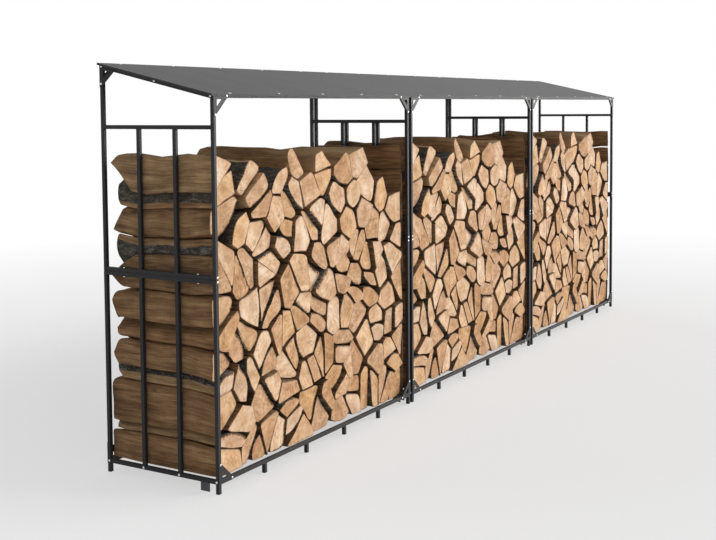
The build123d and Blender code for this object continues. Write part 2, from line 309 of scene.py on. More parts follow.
def frame_paint():
    """Black powder coat on the tubes, with a fine orange peel."""
    shader = Shader("black_powder_coat")
    place = object_place(shader)
    speckle = shader.noise(place, 900.0, 2.0)
    cloud = shader.noise(place, 14.0, 4.0)
    tone = shader.weighted((speckle, 0.35), (cloud, 0.65))
    colour = shader.ramp(tone, (0.25, srgb(44, 44, 46)), (0.75, srgb(54, 54, 56)))
    roughness = shader.level(cloud, 0.3, 0.7, 0.45, 0.53)
    normal = shader.bump(speckle, 0.35, 0.0004)
    return shader.finish(
        Base_Color=colour, Roughness=roughness, Normal=normal, Specular_IOR_Level=0.23)


def bare_lug():
    """Dull grey metal of the anchor lugs."""
    shader = Shader("dull_grey_metal")
    place = object_place(shader)
    cloud = shader.noise(place, 120.0, 4.0)
    colour = shader.ramp(cloud, (0.3, srgb(92, 95, 100)), (0.7, srgb(114, 117, 122)))
    normal = shader.bump(cloud, 0.3, 0.0003)
    return shader.finish(
        Base_Color=colour, Roughness=0.6, Normal=normal, Specular_IOR_Level=0.3)


def roof_paint():
    """Dark powder coat on the roof sheets, with faint water marks down the slope."""
    shader = Shader("dark_roof_coat")
    place = object_place(shader)
    speckle = shader.noise(place, 700.0, 2.0)
    cloud = shader.noise(place, 3.0, 4.0)
    streaks = shader.noise(shader.stretch(place, (16.0, 1.2, 1.2)), 1.0, 4.0)
    tone = shader.weighted((cloud, 0.5), (streaks, 0.5))
    colour = shader.ramp(tone, (0.3, srgb(60, 60, 61)), (0.7, srgb(65, 65, 65)))
    roughness = shader.level(streaks, 0.3, 0.7, 0.56, 0.6)
    normal = shader.bump(speckle, 0.3, 0.0004)
    return shader.finish(
        Base_Color=colour, Roughness=roughness, Normal=normal, Specular_IOR_Level=0.25)


def foot_plastic():
    """Black moulded plastic of the foot caps."""
    shader = Shader("foot_plastic")
    place = object_place(shader)
    grain = shader.noise(place, 1400.0, 2.0)
    colour = shader.ramp(grain, (0.3, srgb(16, 16, 16)), (0.7, srgb(28, 28, 29)))
    normal = shader.bump(grain, 0.4, 0.0003)
    return shader.finish(Base_Color=colour, Roughness=0.62, Normal=normal)


def zinc():
    """Bright zinc of the screws, bolts and nuts."""
    shader = Shader("zinc_plate")
    place = object_place(shader)
    cloud = shader.noise(place, 260.0, 3.0)
    colour = shader.ramp(cloud, (0.3, srgb(196, 199, 202)), (0.7, srgb(232, 233, 234)))
    roughness = shader.level(cloud, 0.3, 0.7, 0.22, 0.38)
    return shader.finish(Base_Color=colour, Roughness=roughness, Metallic=1.0)


def log_facts(shader):
    """The log's own numbers and its grain coordinates, moved apart from log to log."""
    grain = shader.add("Attribute", attribute_name="grain").outputs["Vector"]
    facts = shader.add("Attribute", attribute_name="log").outputs["Vector"]
    tone, warmth, seed = shader.add("SeparateXYZ", {"Vector": facts}).outputs
    apart = shader.vector(seed, seed, seed)
    moved = shader.add("VectorMath", {0: grain, 1: apart}, operation="ADD").outputs[0]
    return grain, moved, tone, warmth, seed


def end_checks(shader, moved, radius, angle, seed):
    """Drying checks: fine cracks away from the pith, in places only."""
    place = shader.vector(shader.times(angle, 4.0), shader.times(radius, 5.0), seed)
    crack = shader.math("SUBTRACT", shader.noise(place, 1.0, 2.0, 0.5), 0.5)
    mask = shader.level(shader.noise(moved, 16.0, 1.0), 0.5, 0.6)
    return shader.times(shader.level(shader.math("ABSOLUTE", crack), 0.0, 0.016, 1.0, 0.0), mask)


def end_rim(shader, colour, moved):
    """Colour of a log's end with its rim: stained, and on split logs painted edge shade; worn
    pale, which is also a painted edge highlight; a painted dark edge shade; and bark.
    """
    rim = shader.attribute("rim")
    bark = shader.attribute("bark")
    ragged = shader.level(shader.noise(moved, 95.0, 3.0), 0.3, 0.7, 0.55, 1.35)
    edge = shader.times(rim, ragged)
    # Orange at the rim: a real stain on logs with bark, and painted edge shade on split logs
    stain_and_shade_share = shader.level(bark, 0.0, 1.0, 0.42, 1.0)
    stain_and_edge_shade = shader.times(shader.level(edge, 0.04, 0.55, 0.0, 0.6), stain_and_shade_share)
    colour = shader.mix(stain_and_edge_shade, colour, srgb(206, 148, 96))
    # Pale rim on split logs: wear, and also a painted highlight along the edge
    bare = shader.math("SUBTRACT", 1.0, bark)
    worn = shader.times(shader.level(edge, 0.35, 0.75, 0.0, 0.16), bare)
    colour = shader.mix(worn, colour, srgb(250, 230, 206))
    # Dark line round the end's edge: painted shade of the gaps between neighbouring logs
    outline = shader.level(rim, 0.76, 0.96, 0.0, 0.85)
    colour = shader.mix(outline, colour, srgb(116, 78, 50))
    bark_rim = shader.times(shader.level(edge, 0.5, 0.72), shader.level(bark, 0.35, 0.6))
    return shader.mix(bark_rim, colour, srgb(86, 62, 42))


def wood_ends():
    """Log ends: saw streaks, rings about the pith, rays, checks and uneven honey colour."""
    shader = Shader("wood_ends")
    grain, moved, tone, warmth, seed = log_facts(shader)

    # Place round the pith
    axes = shader.add("SeparateXYZ", {"Vector": grain})
    wander = shader.times(shader.math("SUBTRACT", shader.noise(moved, 18.0, 2.0), 0.5), 0.03)
    across = shader.math("ADD", axes.outputs["X"], wander)
    up = axes.outputs["Z"]
    square = shader.math("ADD", shader.times(across, across), shader.times(up, up))
    radius = shader.math("SQRT", square)
    angle = shader.math("ARCTAN2", up, across)

    # Patterns
    ring_place = shader.vector(shader.times(radius, 85.0), seed, angle)
    rings = shader.noise(ring_place, 1.0, 4.0, 0.65)
    ray_place = shader.vector(shader.times(angle, 11.0), shader.times(radius, 9.0), seed)
    rays = shader.noise(ray_place, 1.0, 4.0, 0.65)
    turned = shader.add(
        "VectorRotate", {"Vector": moved, "Angle": seed}, rotation_type="Y_AXIS")
    streaks = shader.noise(shader.stretch(turned, (72.0, 20.0, 8.0)), 1.0, 4.0, 0.65)
    patches = shader.noise(moved, 15.0, 3.0)
    blotches = shader.noise(moved, 46.0, 3.0)
    checks = end_checks(shader, moved, radius, angle, seed)

    # Colour
    mixed = shader.weighted(
        (streaks, 0.22), (rings, 0.2), (rays, 0.12), (patches, 0.32), (blotches, 0.2))
    shade = shader.weighted((shader.level(mixed, 0.4, 0.6), 0.6), (tone, 0.4))
    pale = shader.ramp(
        shade, (0.06, srgb(160, 118, 82)), (0.36, srgb(206, 164, 126)),
        (0.62, srgb(236, 197, 160)), (0.94, srgb(253, 231, 205)))
    orange = shader.ramp(
        shade, (0.06, srgb(144, 98, 58)), (0.36, srgb(192, 142, 92)),
        (0.62, srgb(226, 178, 124)), (0.94, srgb(246, 210, 164)))
    colour = shader.mix(warmth, pale, orange)
    heart = shader.level(radius, 0.015, 0.075, 0.42, 0.0)
    colour = shader.mix(heart, colour, srgb(192, 136, 88))
    colour = shader.mix(shader.times(checks, 0.7), colour, srgb(112, 74, 48))
    colour = end_rim(shader, colour, moved)

    height = shader.weighted(
        (streaks, 0.9), (rays, 0.4), (rings, 0.5), (patches, 0.8), (checks, -1.6))
    normal = shader.bump(height, 0.6, 0.0022)
    return shader.finish(Base_Color=colour, Roughness=0.82, Normal=normal)


def split_surface(shader, bent, patches, tone, warmth):
    """Colour and height of a split face: torn fibres, bands and knots."""
    fibres = shader.noise(shader.stretch(bent, (120.0, 6.0, 120.0)), 1.0, 4.0, 0.65)
    bands = shader.noise(shader.stretch(bent, (34.0, 2.4, 34.0)), 1.0, 3.0)
    grained = shader.weighted((fibres, 0.4), (bands, 0.38), (patches, 0.22))
    # On the sides the tone also holds painted light on wall and top logs, and painted shade on
    # inner logs and thin slabs
    shade = shader.weighted((shader.level(grained, 0.38, 0.62), 0.7), (tone, 0.3))
    colour = shader.ramp(
        shade, (0.08, srgb(84, 62, 40)), (0.36, srgb(133, 103, 70)),
        (0.62, srgb(168, 134, 95)), (0.94, srgb(210, 175, 130)))
    colour = shader.mix(shader.times(warmth, 0.4), colour, srgb(226, 176, 138), "MULTIPLY")
    knots = shader.add(
        "TexVoronoi", {"Vector": shader.stretch(bent, (8.0, 3.2, 8.0)), "Scale": 1.0})
    knot = shader.level(knots.outputs["Distance"], 0.02, 0.1, 0.65, 0.0)
    colour = shader.mix(knot, colour, srgb(58, 38, 24))
    return colour, shader.weighted((fibres, 0.7), (bands, 0.9))


def bark_surface(shader, bent, moved, patches, warmth):
    """Colour and height of bark: fissured plates, fine flakes and some lichen."""
    plates = shader.noise(shader.stretch(bent, (60.0, 17.0, 60.0)), 1.0, 4.0, 0.7)
    flakes = shader.noise(shader.stretch(moved, (190.0, 90.0, 190.0)), 1.0, 3.0, 0.6)
    rough = shader.level(shader.weighted((plates, 0.66), (flakes, 0.34)), 0.39, 0.61)
    colour = shader.ramp(
        rough, (0.08, srgb(38, 35, 31)), (0.5, srgb(88, 81, 73)), (0.95, srgb(158, 150, 140)))
    lichen = shader.level(patches, 0.5, 0.62, 0.0, 0.45)
    colour = shader.mix(lichen, colour, srgb(82, 83, 68))
    colour = shader.mix(shader.times(warmth, 0.3), colour, srgb(88, 62, 44))
    return colour, shader.math("ADD", shader.times(rough, 1.2), 0.7)


def wood_sides():
    """Sides of the logs: torn fibres on split faces, and dark fissured bark on round ones."""
    shader = Shader("wood_sides")
    _, moved, tone, warmth, _ = log_facts(shader)
    cloud = shader.add("TexNoise", {"Vector": moved, "Scale": 4.0}).outputs["Color"]
    bend = shader.stretch(cloud, (0.024, 0.0, 0.024))
    bent = shader.add("VectorMath", {0: moved, 1: bend}, operation="ADD").outputs[0]
    patches = shader.noise(moved, 8.0, 3.0)
    split_colour, split_height = split_surface(shader, bent, patches, tone, warmth)
    bark_colour, bark_height = bark_surface(shader, bent, moved, patches, warmth)
    ragged = shader.noise(shader.stretch(moved, (26.0, 5.0, 26.0)), 1.0, 4.0)
    wander = shader.times(shader.math("SUBTRACT", ragged, 0.5), 1.1)
    bark = shader.math("ADD", shader.attribute("bark"), wander)
    cover = shader.level(bark, 0.44, 0.52)
    colour = shader.mix(cover, split_colour, bark_colour)
    height = shader.mix_values(cover, split_height, bark_height)
    normal = shader.bump(height, 0.85, 0.0045)
    return shader.finish(Base_Color=colour, Roughness=0.9, Normal=normal)


def add_piece(shape, name, materials, slot, *nodes):
    """Makes a finished bmesh a piece that rides the body and may stand for CAD nodes."""
    mesh = bpy.data.meshes.new(name)
    shape.to_mesh(mesh)
    shape.free()
    for material in materials:
        mesh.materials.append(material)
    piece = bpy.data.objects.new(name, mesh)
    bpy.context.scene.collection.objects.link(piece)
    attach(piece, BODY)
    if nodes:
        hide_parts(*nodes)
    return piece


def node_mesh(node):
    """A CAD node as a bmesh in the shared frame, its doubled points merged."""
    shape = bmesh.new()
    shape.from_mesh(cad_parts[node].data)
    shape.transform(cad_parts[node].matrix_world)
    bmesh.ops.remove_doubles(shape, verts=shape.verts, dist=SAME_POINT)
    return shape


def rounded_copy(node, name, radius, material, slot):
    """A CAD node with its folded or drawn edges rounded."""
    shape = node_mesh(node)
    bmesh.ops.dissolve_limit(
        shape, angle_limit=FLAT_ANGLE, verts=shape.verts, edges=shape.edges)
    sharp = [
        edge for edge in shape.edges
        if len(edge.link_faces) == 2 and edge.calc_face_angle(0) > FOLD_ANGLE]
    rounded = bmesh.ops.bevel(
        shape, geom=sharp, offset=radius, offset_type="OFFSET", segments=2, profile=0.5,
        affect="EDGES", clamp_overlap=True)
    shape.normal_update()
    normals = corner_normals(shape, set(rounded["faces"]))
    for face in shape.faces:
        face.smooth = True
    piece = add_piece(shape, name, (material,), slot, node)
    piece.data.normals_split_custom_set(normals)
    return piece


def corner_normals(shape, rounded):
    """Normal at each face corner: faces stay flat, and rounded edges turn between them."""
    normals = []
    for face in shape.faces:
        for corner in face.loops:
            beside = corner.vert.link_faces
            flat = [other.normal for other in beside if other not in rounded]
            if face not in rounded:
                normal = face.normal
            elif flat:
                normal = max(flat, key=face.normal.dot)
            else:
                normal = sum((other.normal for other in beside), Vector())
            normals.append(normal.normalized())
    return normals


def solid_rings(shape, place, rings, smooth):
    """Closed solid along local Z from rings of (radius, height, six-sided), in millimetres."""
    loops = []
    for radius, height, six_sided in rings:
        loop = []
        for number in range(SCREW_FACETS):
            turn = 2 * math.pi * number / SCREW_FACETS
            reach = radius * MM
            if six_sided:
                reach /= math.cos(turn % (math.pi / 3) - math.pi / 6)
            point = Vector((reach * math.cos(turn), reach * math.sin(turn), height * MM))
            loop.append(shape.verts.new(place @ point))
        loops.append(loop)
    for lower, upper in zip(loops, loops[1:]):
        for number in range(SCREW_FACETS):
            after = (number + 1) % SCREW_FACETS
            face = shape.faces.new((lower[number], lower[after], upper[after], upper[number]))
            face.smooth = smooth
    shape.faces.new(loops[-1])
    shape.faces.new(list(reversed(loops[0])))


def pan_screw(shape, place):
    """Pan head screw with a hexagon socket."""
    rings = (
        (6.2, 0.0, False), (6.2, 0.7, False), (5.6, 1.8, False), (4.0, 2.5, False),
        (2.3, 2.75, False), (1.8, 2.7, True), (1.7, 1.2, True))
    solid_rings(shape, place, rings, True)


def hexagon_bolt(shape, place):
    """Hexagon head or nut on a washer."""
    washer = ((6.2, 0.0, False), (6.2, 0.9, False), (5.9, 1.1, False))
    head = ((4.9, 1.1, True), (4.9, 4.2, True), (4.3, 4.7, False))
    for rings in (washer, head):
        solid_rings(shape, place, rings, False)


def facing(x, y, z, direction):
    """Placement at a point with local Z along a direction."""
    turn = Vector(direction).to_track_quat("Z", "Y").to_matrix().to_4x4()
    return Matrix.Translation((x, y, z)) @ turn


def frame_box(bay):
    """Lowest corner of the left side frame and highest corner of the right one."""
    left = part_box(f"bay_{bay}_left_lower_frame")
    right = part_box(f"bay_{bay}_right_lower_frame")
    return left[0], right[1]


def plate_screws(shape, side, depth, sign, out, top_rail, base_top):
    """Screws of the two corner plates at one post: sign points into the bay, out away from it."""
    plate_face = depth + out * PLATE
    rail_middle = (top_rail[0].z + top_rail[1].z) / 2
    along_top, down = TOP_PLATE_SCREWS
    along_base, up = BASE_PLATE_SCREWS
    for reach, height in (
        (along_top, rail_middle), (POST_SCREW, top_rail[1].z - down),
        (along_base, base_top - TUBE / 2), (POST_SCREW, base_top - TUBE + up),
    ):
        pan_screw(shape, facing(side + sign * reach, plate_face, height, (0, out, 0)))


def side_screws(shape, side, sign, low, high, heights):
    """Screws and bolts of one side frame: base rail, rafter, rear plate and the split."""
    base_top, split, front_top, rear_top, rise = heights
    outer = (-sign, 0, 0)
    for share in BASE_RAIL_SCREWS:
        depth = low.y + share * (high.y - low.y)
        pan_screw(shape, facing(side, depth, base_top - TUBE / 2, outer))
    for offset in RAFTER_SCREWS:
        height = front_top + rise * (offset - TUBE) - RAFTER_SCREW_DROP
        pan_screw(shape, facing(side, low.y + offset, height, outer))
    inward, down = REAR_PLATE_SCREW
    pan_screw(shape, facing(side - sign * PLATE, high.y - inward, rear_top - down, outer))
    for offset in MID_RAIL_BOLTS:
        middle = side + sign * TUBE / 2
        for up in (1, -1):
            place = facing(middle, low.y + offset, split + up * TUBE, (0, 0, up))
            hexagon_bolt(shape, place)


def fasteners(bay, material):
    """All the screws, bolts and nuts of one bay."""
    low, high = frame_box(bay)
    roof_low, roof_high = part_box(f"bay_{bay}_roof_sheet")
    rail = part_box(f"bay_{bay}_front_top_rail")
    rear_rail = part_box(f"bay_{bay}_rear_top_rail")
    base_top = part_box(f"bay_{bay}_front_base_rail")[1].z
    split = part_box(f"bay_{bay}_left_lower_frame")[1].z
    rise = (rear_rail[1].z - rail[1].z) / (rear_rail[1].y - rail[1].y)
    heights = (base_top, split, rail[1].z, rear_rail[1].z, rise)
    shape = bmesh.new()
    for side, sign in ((low.x, 1), (high.x, -1)):
        for depth, out, top_rail in ((low.y, -1, rail), (high.y, 1, rear_rail)):
            plate_screws(shape, side, depth, sign, out, top_rail, base_top)
            for height in (split - SPLIT_SCREW, split + SPLIT_SCREW):
                place = facing(side + sign * POST_SCREW, depth, height, (0, out, 0))
                pan_screw(shape, place)
        side_screws(shape, side, sign, low, high, heights)
    fall = (roof_high.z - roof_low.z - ROOF_LIP) / (roof_high.y - roof_low.y)
    for share in ROOF_SCREWS:
        x = low.x + (high.x - low.x) * share
        for y in (low.y + TUBE / 2, high.y - TUBE / 2):
            roof_top = roof_high.z - (roof_high.y - y) * fall
            pan_screw(shape, facing(x, y, roof_top, (0, -rise, 1)))
    bmesh.ops.recalc_face_normals(shape, faces=shape.faces)
    piece = add_piece(shape, f"bay_{bay}_screws_and_bolts", (material,), "zinc")
    piece.data.set_sharp_from_angle(angle=SCREW_SHARP_ANGLE)


def weld_bead(shape, start, end, first, second, draw):
    """Rippled fillet from start to end, in the corner between two outward directions."""
    steps = max(4, round((end - start).length / WELD_RIPPLE))
    rings = []
    for step in range(steps + 1):
        middle = start.lerp(end, step / steps)
        swell = WELD_END if step in (0, steps) else draw.uniform(*WELD_SWELL)
        reach = WELD_SINK + WELD_REACH * swell
        root = middle - (first + second) * WELD_SINK
        ring = [shape.verts.new(root)]
        for along, out in WELD_PROFILE:
            ring.append(shape.verts.new(root + first * reach * along + second * reach * out))
        rings.append(ring)
    for before, after in zip(rings, rings[1:]):
        for number in range(len(before)):
            beside = (number + 1) % len(before)
            face = shape.faces.new((before[number], before[beside], after[beside], after[number]))
            face.smooth = True
    shape.faces.new(rings[0])
    shape.faces.new(list(reversed(rings[-1])))


def weld_beads(bay, material):
    """The weld beads of one bay's side frames: bars to rails, rails to posts, and the lugs."""
    low, high = frame_box(bay)
    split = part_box(f"bay_{bay}_left_lower_frame")[1].z
    rail_top = GROUND_CLEARANCE + TUBE
    draw = random.Random(WELD_SEED)
    shape = bmesh.new()
    up, ahead = Vector((0, 0, 1)), Vector((0, 1, 0))
    corners = []
    for bar in UPRIGHT_BARS:
        for height, way in (
            (rail_top, up), (split - TUBE, -up), (split + TUBE, up),
            (SIDE_BAR_TOP - TUBE, -up),
        ):
            corners += [(bar, height, -ahead, way), (bar + TUBE, height, ahead, way)]
    for post, inward in ((TUBE, ahead), (high.y - low.y - TUBE, -ahead)):
        for height, way in (
            (GROUND_CLEARANCE, -up), (rail_top, up), (split - TUBE, -up), (split + TUBE, up),
            (SIDE_BAR_TOP - TUBE, -up), (SIDE_BAR_TOP, up),
        ):
            corners.append((post, height, inward, way))
    for left in (low.x, high.x - TUBE):
        for depth, height, first, second in corners:
            start = Vector((left + TUBE_EDGE, low.y + depth, height))
            end = Vector((left + TUBE - TUBE_EDGE, low.y + depth, height))
            weld_bead(shape, start, end, first, second, draw)
        for sign in (-1, 1):
            x = left + TUBE / 2 + sign * LUG_THICKNESS / 2
            start = Vector((x, low.y + LUG[0], GROUND_CLEARANCE))
            end = Vector((x, low.y + LUG[1], GROUND_CLEARANCE))
            weld_bead(shape, start, end, Vector((sign, 0, 0)), -up, draw)
    bmesh.ops.recalc_face_normals(shape, faces=shape.faces)
    piece = add_piece(shape, f"bay_{bay}_weld_beads", (material,), "frame_paint")
    piece.data.set_sharp_from_angle(angle=WELD_SHARP_ANGLE)


def show_lug(piece, bay, material):
    """Leaves the anchor lug under a side frame's base rail in bare metal."""
    front = frame_box(bay)[0].y
    piece.data.materials.append(material)
    for face in piece.data.polygons:
        places = [piece.data.vertices[number].co for number in face.vertices]
        under_rail = all(place.z < GROUND_CLEARANCE + MM for place in places)
        if under_rail and all(LUG[0] - MM < p.y - front < LUG[1] + MM for p in places):
            face.material_index = 1


def prisms(node):
    """Each log of a CAD node as (outline, front, rear), the outline in (x, z) round its middle."""
    shape = node_mesh(node)
    waiting = set(shape.verts)
    logs = []
    while waiting:
        first = waiting.pop()
        group = [first]
        for vert in group:
            for edge in vert.link_edges:
                other = edge.other_vert(vert)
                if other in waiting:
                    waiting.remove(other)
                    group.append(other)
        front = min(vert.co.y for vert in group)
        rear = max(vert.co.y for vert in group)
        corners = [Vector((vert.co.x, vert.co.z)) for vert in group if vert.co.y < front + MM]
        middle = sum(corners, Vector((0, 0))) / len(corners)
        corners.sort(key=lambda corner: math.atan2(corner.y - middle.y, corner.x - middle.x))
        logs.append((corners, front, rear))
    shape.free()
    logs.sort(key=lambda log: [round(min(c[axis] for c in log[0]), 4) for axis in (1, 0)])
    return logs


def outward_normals(corners):
    """Outward direction of each side of an outline."""
    normals = []
    for number, corner in enumerate(corners):
        along = (corners[(number + 1) % len(corners)] - corner).normalized()
        normals.append(Vector((along.y, -along.x)))
    return normals


def side_lengths(corners):
    """Length of each side of an outline."""
    return [
        (corners[(number + 1) % len(corners)] - corner).length
        for number, corner in enumerate(corners)]


def round_sides(corners):
    """For each side, whether it is a facet of a round back: as long as the one beside it."""
    spans = side_lengths(corners)
    flags = []
    for number, span in enumerate(spans):
        beside = (spans[number - 1], spans[(number + 1) % len(spans)])
        flags.append(any(abs(span - other) < SAME_LENGTH * span for other in beside))
    return flags


def inset(corners, amounts):
    """Convex outline with each side moved in by about its own amount."""
    normals = outward_normals(corners)
    result = []
    for number, corner in enumerate(corners):
        before, after = normals[number - 1], normals[number]
        shift = before * amounts[number - 1] + after * amounts[number]
        result.append(corner - shift / (1 + before.dot(after)))
    return result


def softened(corners, cuts):
    """Outline with each corner cut back: a small flat, or an arc where the cut is large."""
    points = []
    for number, corner in enumerate(corners):
        ends = []
        for other in (corners[number - 1], corners[(number + 1) % len(corners)]):
            away = other - corner
            cut = min(cuts[number], away.length * LARGEST_CUT)
            ends.append(corner + away.normalized() * cut)
        steps = ARC_STEPS if cuts[number] > ARC_FROM else 1
        for step in range(steps + 1):
            share = step / steps
            points.append(ends[0].lerp(corner, share).lerp(corner.lerp(ends[1], share), share))
    return points


def divided(points):
    """The same closed outline with points added along its long stretches."""
    result = []
    for number, here in enumerate(points):
        there = points[(number + 1) % len(points)]
        count = max(1, round((there - here).length / POINT_SPACING))
        result += [here.lerp(there, step / count) for step in range(count)]
    return result


def smooth_step(value, low, high):
    """0 below the low value, 1 above the high one, smooth between."""
    share = min(1.0, max(0.0, (value - low) / (high - low)))
    return share * share * (3 - 2 * share)


def random_lean(draw):
    """Random vector in the plane, each part from -1 to 1."""
    return Vector((draw.uniform(-1, 1), draw.uniform(-1, 1)))


class Log:
    """One split log in the making: its outline, its numbers and its attributes."""

    def __init__(self, prism, pile, draw):
        low, high = pile
        self.corners, self.front, self.rear = prism
        self.front += draw.random() ** 2 * END_RECESS
        self.middle = sum(self.corners, Vector((0, 0))) / len(self.corners)
        left = min(corner.x for corner in self.corners)
        right = max(corner.x for corner in self.corners)
        self.slab = right - left < SLAB_WIDTH
        at_wall = min(left - low.x, high.x - right) < WALL_REACH
        on_top = max(corner.y for corner in self.corners) > high.z - TOP_LAYER

        # Colour, and how the ends lean. A thin slab gets a dark tone as painted shade; the sides'
        # tone gets painted light at the walls and on top, and painted shade inside the pile
        self.tone = SLAB_PAINTED_SHADE if self.slab else draw.random()
        self.side_tone_and_painted_light = self.tone + INNER_PAINTED_SHADE
        if at_wall:
            self.side_tone_and_painted_light = self.tone + WALL_PAINTED_LIGHT
        elif on_top:
            self.side_tone_and_painted_light = self.tone + TOP_PAINTED_LIGHT
        self.warmth = draw.random() ** 1.5
        self.seed = draw.uniform(0, PATTERN_SPAN)
        self.tilt_front = random_lean(draw) * FRONT_TILT
        self.tilt_rear = random_lean(draw) * REAR_TILT
        self.wedge = draw.uniform(*REAR_WEDGE) if draw.random() < REAR_WEDGE_CHANCE else 0.0
        self.ridge = Vector((draw.uniform(-RIDGE_LEAN, RIDGE_LEAN), 1.0)).normalized()
        self.ridge_shift = draw.uniform(-1, 1) * RIDGE_SHIFT

        # Outline
        round_flags = round_sides(self.corners)
        inset_all = draw.uniform(*END_INSET)
        insets = [inset_all if flag else draw.uniform(*END_INSET) for flag in round_flags]
        cuts = [self.corner_cut(number, round_flags, draw) for number in range(len(insets))]
        if self.slab:
            insets = [MM] * len(insets)
        chance = WALL_BARK_CHANCE if at_wall else BARK_CHANCE
        bark_sides = self.bark_sides(round_flags, cuts, chance, draw)
        self.grow = sum(insets) / len(insets) - MIDDLE_INSET
        self.points = divided(softened(inset(self.corners, insets), cuts))
        self.normals = []
        for number in range(len(self.points)):
            along = self.points[(number + 1) % len(self.points)] - self.points[number - 1]
            self.normals.append(Vector((along.y, -along.x)).normalized())

        self.barks = [0.0] * len(self.points)
        self.pith = self.middle + random_lean(draw) * PITH_SPREAD
        if bark_sides:
            self.keep_bark(bark_sides, draw)
        self.front_low = min((p - self.middle).dot(self.tilt_front) for p in self.points)
        self.rear_high = max(self.rear_lean(place) for place in self.points)

    def keep_bark(self, bark_sides, draw):
        """Gives the points of the bark's sides bark, and puts the pith across from them."""
        middle_way = sum(bark_sides, Vector((0, 0))).normalized()
        edge = min(middle_way.dot(normal) for normal in bark_sides)
        bare, full = BARK_FADE
        self.barks = [
            smooth_step(middle_way.dot(normal), edge - bare, edge - full)
            for normal in self.normals]
        reach = max((corner - self.middle).dot(middle_way) for corner in self.corners)
        self.pith = self.middle - middle_way * draw.uniform(*PITH_BEHIND) * reach

    def corner_cut(self, number, round_flags, draw):
        """How far a corner is cut back: most on a round back, more where worn or a thin tip."""
        worn = draw.random() ** 3
        blunt = draw.uniform(0.3, 1.0)
        if round_flags[number - 1] and round_flags[number]:
            return BARK_CORNER
        corner = self.corners[number]
        before = self.corners[number - 1] - corner
        after = self.corners[(number + 1) % len(self.corners)] - corner
        tip = 1 - smooth_step(before.angle(after), TIP_ANGLE[1], TIP_ANGLE[0])
        return max(SHARP_CORNER + worn * (WORN_CORNER - SHARP_CORNER), tip * blunt * TIP_CORNER)

    def bark_sides(self, round_flags, cuts, chance, draw):
        """Outward directions of the sides that keep their bark."""
        normals = outward_normals(self.corners)
        found = [normal for normal, flag in zip(normals, round_flags) if flag]
        if found or self.slab or draw.random() > chance:
            return found
        spans = side_lengths(self.corners)
        longest = spans.index(max(spans))
        cuts[longest] = BARK_CORNER
        cuts[(longest + 1) % len(cuts)] = BARK_CORNER
        return [normals[longest]]

    def rear_lean(self, place):
        """How far the axe-cut rear end leans back at a place across the log."""
        away = place - self.middle
        return away.dot(self.tilt_rear) - abs(away.dot(self.ridge) + self.ridge_shift) * self.wedge

    def waver(self, place, level, across, along):
        """The log's own noise at a place on it, by its scale across and along."""
        return noise.noise(Vector((place.x * across, level * along + self.seed, place.y * across)))

    def section(self, share, shrink):
        """Places round the log at a share of its length, as points in 3D."""
        length = self.rear - self.front
        from_end = length * min(share, 1 - share)
        swell = smooth_step(from_end, 0, TAPER_LENGTH)
        level = self.front + length * share
        loop = []
        for place, normal in zip(self.points, self.normals):
            wave = self.waver(place, level, *EDGE_WAVE_SCALE)
            fine = self.waver(place, level, *SIDE_ROUGHNESS_SCALE)
            dent = EDGE_WAVE * max(0.0, wave) * (1 - EDGE_WAVE_FADE * swell)
            dent += SIDE_ROUGHNESS * (0.5 + fine)
            moved = place + normal * (self.grow * swell - dent - shrink)
            front_lean = (place - self.middle).dot(self.tilt_front)
            forward = max(0.0, 1 - 2 * share) * (front_lean - self.front_low)
            back = max(0.0, 2 * share - 1) * (self.rear_high - self.rear_lean(place))
            loop.append(Vector((moved.x, level + forward - back, moved.y)))
        return loop


def noise_place(place, scale, start):
    """Where a place lies in a noise: each coordinate times its scale, from a start."""
    return Vector([part * by + first for part, by, first in zip(place, scale, start)])


def settled(place, pile):
    """A place after the pile has settled: slow waves, still at the walls and rails."""
    low, high = pile
    side = smooth_step(min(place.x - low.x, high.x - place.x), 0, SETTLING_MARGIN)
    lift = smooth_step(place.z - low.z, 0, SETTLING_MARGIN)
    sway = noise.noise(noise_place(place, SWAY_SCALE, SWAY_START))
    sag = noise.noise(noise_place(place, SINKING_SCALE, SINKING_START))
    return place + Vector((sway * SWAY * side, 0, min(sag, LARGEST_RISE) * SINKING * lift))


